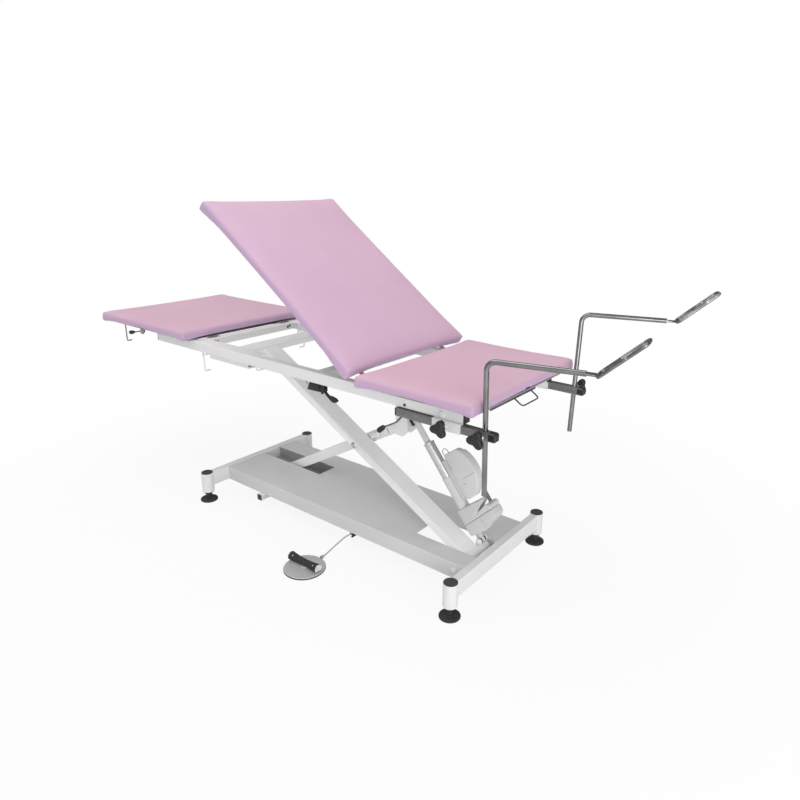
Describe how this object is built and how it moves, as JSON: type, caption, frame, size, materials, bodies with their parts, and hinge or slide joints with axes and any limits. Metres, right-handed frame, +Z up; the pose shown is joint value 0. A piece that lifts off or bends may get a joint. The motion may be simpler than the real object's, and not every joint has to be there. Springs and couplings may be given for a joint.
{
  "type": "examination table",
  "caption": "Examination table with three padded sections on an electric scissor lift, with sliding leg supports and a foot switch",
  "frame": {"origin": "middle of the underside of the table, under the centre of its outline without the foot switch and its cord", "axes": "+X points to the foot end with the leg supports, +Y points away from the side with the foot switch, +Z is up"},
  "size_m": [2.4304, 0.9514, 1.2591],
  "materials": {
    "white_paint": "smooth semi-gloss powder coat",
    "grey_paint": "semi-gloss paint",
    "black_plastic": "fine-grained moulded plastic",
    "grey_plastic": "fine-grained moulded plastic",
    "chrome": "bright plated",
    "grey_metal": "satin",
    "dark_steel": "dark satin coat",
    "board": "plain grey lacquered board",
    "upholstery": "soft pink-lilac coated fabric with a fine grain"
  },
  "bodies": {
    "base": {"corner_posts": "white_paint", "end_tubes": "white_paint", "base_caps": "black_plastic", "levelling_feet": "black_plastic", "base_pan": "white_paint", "pan_cross_tube": "white_paint", "roller_tray": "grey_paint", "lower_pivot_pin": "chrome", "switch_plate": "grey_plastic", "switch_relief": "grey_plastic", "switch_cord": "grey_plastic", "cord_clip": "black_plastic"},
    "rocker": {"switch_rocker": "black_plastic", "rocker_end_caps": "grey_plastic"},
    "main_arm": {"main_arm": "white_paint", "upper_crosshead": "white_paint", "centre_pin": "chrome"},
    "upper_rollers": {"upper_rollers": "grey_plastic"},
    "second_arm": {"second_arm": "white_paint", "actuator_bracket": "white_paint"},
    "lower_rollers": {"lower_rollers": "grey_plastic"},
    "actuator_body": {"actuator_housing": "grey_plastic", "actuator_outer_tube": "grey_metal", "actuator_rings": "black_plastic", "control_box": "grey_plastic"},
    "actuator_rod": {"actuator_piston": "chrome", "actuator_rod_end": "grey_metal"},
    "upper_frame": {"side_rails": "white_paint", "rail_plugs": "black_plastic", "cross_tubes": "white_paint", "roller_tracks": "white_paint", "support_sleeves": "white_paint", "upper_pivot_pin": "chrome", "seat_board": "board", "seat_cushion": "upholstery", "rail_hooks": "grey_metal", "release_box": "black_plastic", "head_hinge": "grey_metal", "gas_cylinder": "dark_steel"},
    "slide_tray": {"slide_tray": "grey_metal"},
    "release_paddle": {"release_paddle": "black_plastic"},
    "seat_lever": {"seat_lever": "dark_steel"},
    "back": {"back_frame": "board", "back_cushion": "upholstery"},
    "gas_rod": {"gas_rod": "chrome"},
    "head": {"head_board": "board", "head_cushion": "upholstery"},
    "head_lever": {"head_lever": "black_plastic"},
    "near_bar": {"near_bar": "dark_steel", "near_bar_plugs": "black_plastic"},
    "far_bar": {"far_bar": "dark_steel", "far_bar_plugs": "black_plastic"},
    "near_support": {"near_support": "chrome", "near_heel_loop": "chrome"},
    "far_support": {"far_support": "chrome", "far_heel_loop": "chrome"},
    "near_sleeve_knob": {"near_sleeve_knob": "black_plastic"},
    "far_sleeve_knob": {"far_sleeve_knob": "black_plastic"},
    "near_bar_knob": {"near_bar_knob": "black_plastic"},
    "far_bar_knob": {"far_bar_knob": "black_plastic"}
  },
  "joints": [
    {"name": "lift", "type": "hinge", "parent": "base", "child": "main_arm", "pos_m": [0.65197, -0.06982, 0.096], "axis": [0, 1, 0], "range_deg": [-13, 10.8]},
    {"name": "scissor_centre", "type": "hinge", "parent": "main_arm", "child": "second_arm", "pos_m": [0.13621, -0.06982, 0.38661], "axis": [0, 1, 0], "range_deg": [-23.2, 26]},
    {"name": "upper_frame_pivot", "type": "hinge", "parent": "second_arm", "child": "upper_frame", "pos_m": [0.65197, -0.06982, 0.67723], "axis": [0, 1, 0], "range_deg": [-13, 10.8]},
    {"name": "upper_roller_spin", "type": "hinge", "parent": "main_arm", "child": "upper_rollers", "pos_m": [-0.37955, -0.06982, 0.67723], "axis": [0, 1, 0], "continuous": true},
    {"name": "lower_roller_spin", "type": "hinge", "parent": "second_arm", "child": "lower_rollers", "pos_m": [-0.37955, -0.06982, 0.096], "axis": [0, 1, 0], "continuous": true},
    {"name": "actuator_swing", "type": "hinge", "parent": "main_arm", "child": "actuator_body", "pos_m": [0.64897, -0.08182, 0.128], "axis": [0, 1, 0], "range_deg": [-0.8, 0.9]},
    {"name": "actuator_stroke", "type": "slide", "parent": "actuator_body", "child": "actuator_rod", "axis": [-0.6225, 0, 0.7826], "range_m": [-0.113, 0.098]},
    {"name": "back_raise", "type": "hinge", "parent": "upper_frame", "child": "back", "pos_m": [0.31897, -0.06982, 0.70423], "axis": [0, 1, 0], "range_deg": [-35.7, 20]},
    {"name": "gas_spring_stroke", "type": "slide", "parent": "upper_frame", "child": "gas_rod", "axis": [-1, 0, -0.0069], "range_m": [-0.033, 0.019]},
    {"name": "head_raise", "type": "hinge", "parent": "upper_frame", "child": "head", "pos_m": [-0.59053, -0.06982, 0.70623], "axis": [0, 1, 0], "range_deg": [0, 30]},
    {"name": "head_release", "type": "hinge", "parent": "head", "child": "head_lever", "pos_m": [-0.95503, -0.35482, 0.69023], "axis": [0, 1, 0], "range_deg": [-12, 4]},
    {"name": "back_release", "type": "hinge", "parent": "upper_frame", "child": "release_paddle", "pos_m": [0.14797, -0.33532, 0.64423], "axis": [0, 1, 0], "range_deg": [-8, 12]},
    {"name": "seat_lever_turn", "type": "hinge", "parent": "upper_frame", "child": "seat_lever", "pos_m": [0.47597, -0.31382, 0.65223], "axis": [0, 1, 0], "range_deg": [-8, 20]},
    {"name": "tray_slide", "type": "slide", "parent": "upper_frame", "child": "slide_tray", "axis": [1, 0, 0], "range_m": [0, 0.25]},
    {"name": "near_bar_slide", "type": "slide", "parent": "upper_frame", "child": "near_bar", "axis": [1, 0, 0], "range_m": [0, 0.11]},
    {"name": "far_bar_slide", "type": "slide", "parent": "upper_frame", "child": "far_bar", "axis": [1, 0, 0], "range_m": [0, 0.11]},
    {"name": "near_support_turn", "type": "hinge", "parent": "near_bar", "child": "near_support", "pos_m": [0.80197, -0.34732, 0.64903], "axis": [0, -0.0489, 0.9988], "range_deg": [-50, 23]},
    {"name": "far_support_turn", "type": "hinge", "parent": "far_bar", "child": "far_support", "pos_m": [0.81897, 0.20768, 0.64903], "axis": [0, 0.0489, 0.9988], "range_deg": [-58, 30]},
    {"name": "near_sleeve_knob_turn", "type": "hinge", "parent": "upper_frame", "child": "near_sleeve_knob", "pos_m": [0.67197, -0.37982, 0.64903], "axis": [0, 1, 0], "continuous": true},
    {"name": "far_sleeve_knob_turn", "type": "hinge", "parent": "upper_frame", "child": "far_sleeve_knob", "pos_m": [0.67197, 0.24018, 0.64903], "axis": [0, 1, 0], "continuous": true},
    {"name": "near_bar_knob_turn", "type": "hinge", "parent": "near_bar", "child": "near_bar_knob", "pos_m": [0.80197, -0.37982, 0.64903], "axis": [0, 1, 0], "continuous": true},
    {"name": "far_bar_knob_turn", "type": "hinge", "parent": "far_bar", "child": "far_bar_knob", "pos_m": [0.81897, 0.24018, 0.64903], "axis": [0, 1, 0], "continuous": true},
    {"name": "foot_switch_rock", "type": "hinge", "parent": "base", "child": "rocker", "pos_m": [0.13797, -0.45582, 0.012], "axis": [0, 1, 0], "range_deg": [-2.5, 2.5], "stiffness_Nm_per_rad": 2}
  ],
  "couplings": [
    {"joint": "scissor_centre", "follows": "lift", "ratio": -2},
    {"joint": "upper_frame_pivot", "follows": "lift", "ratio": 1},
    {"joint": "actuator_swing", "follows": "lift", "ratio": -0.051},
    {"joint": "actuator_stroke", "follows": "lift", "m_per_rad": 0.47685},
    {"joint": "gas_spring_stroke", "follows": "back_raise", "m_per_rad": 0.050616}
  ]
}
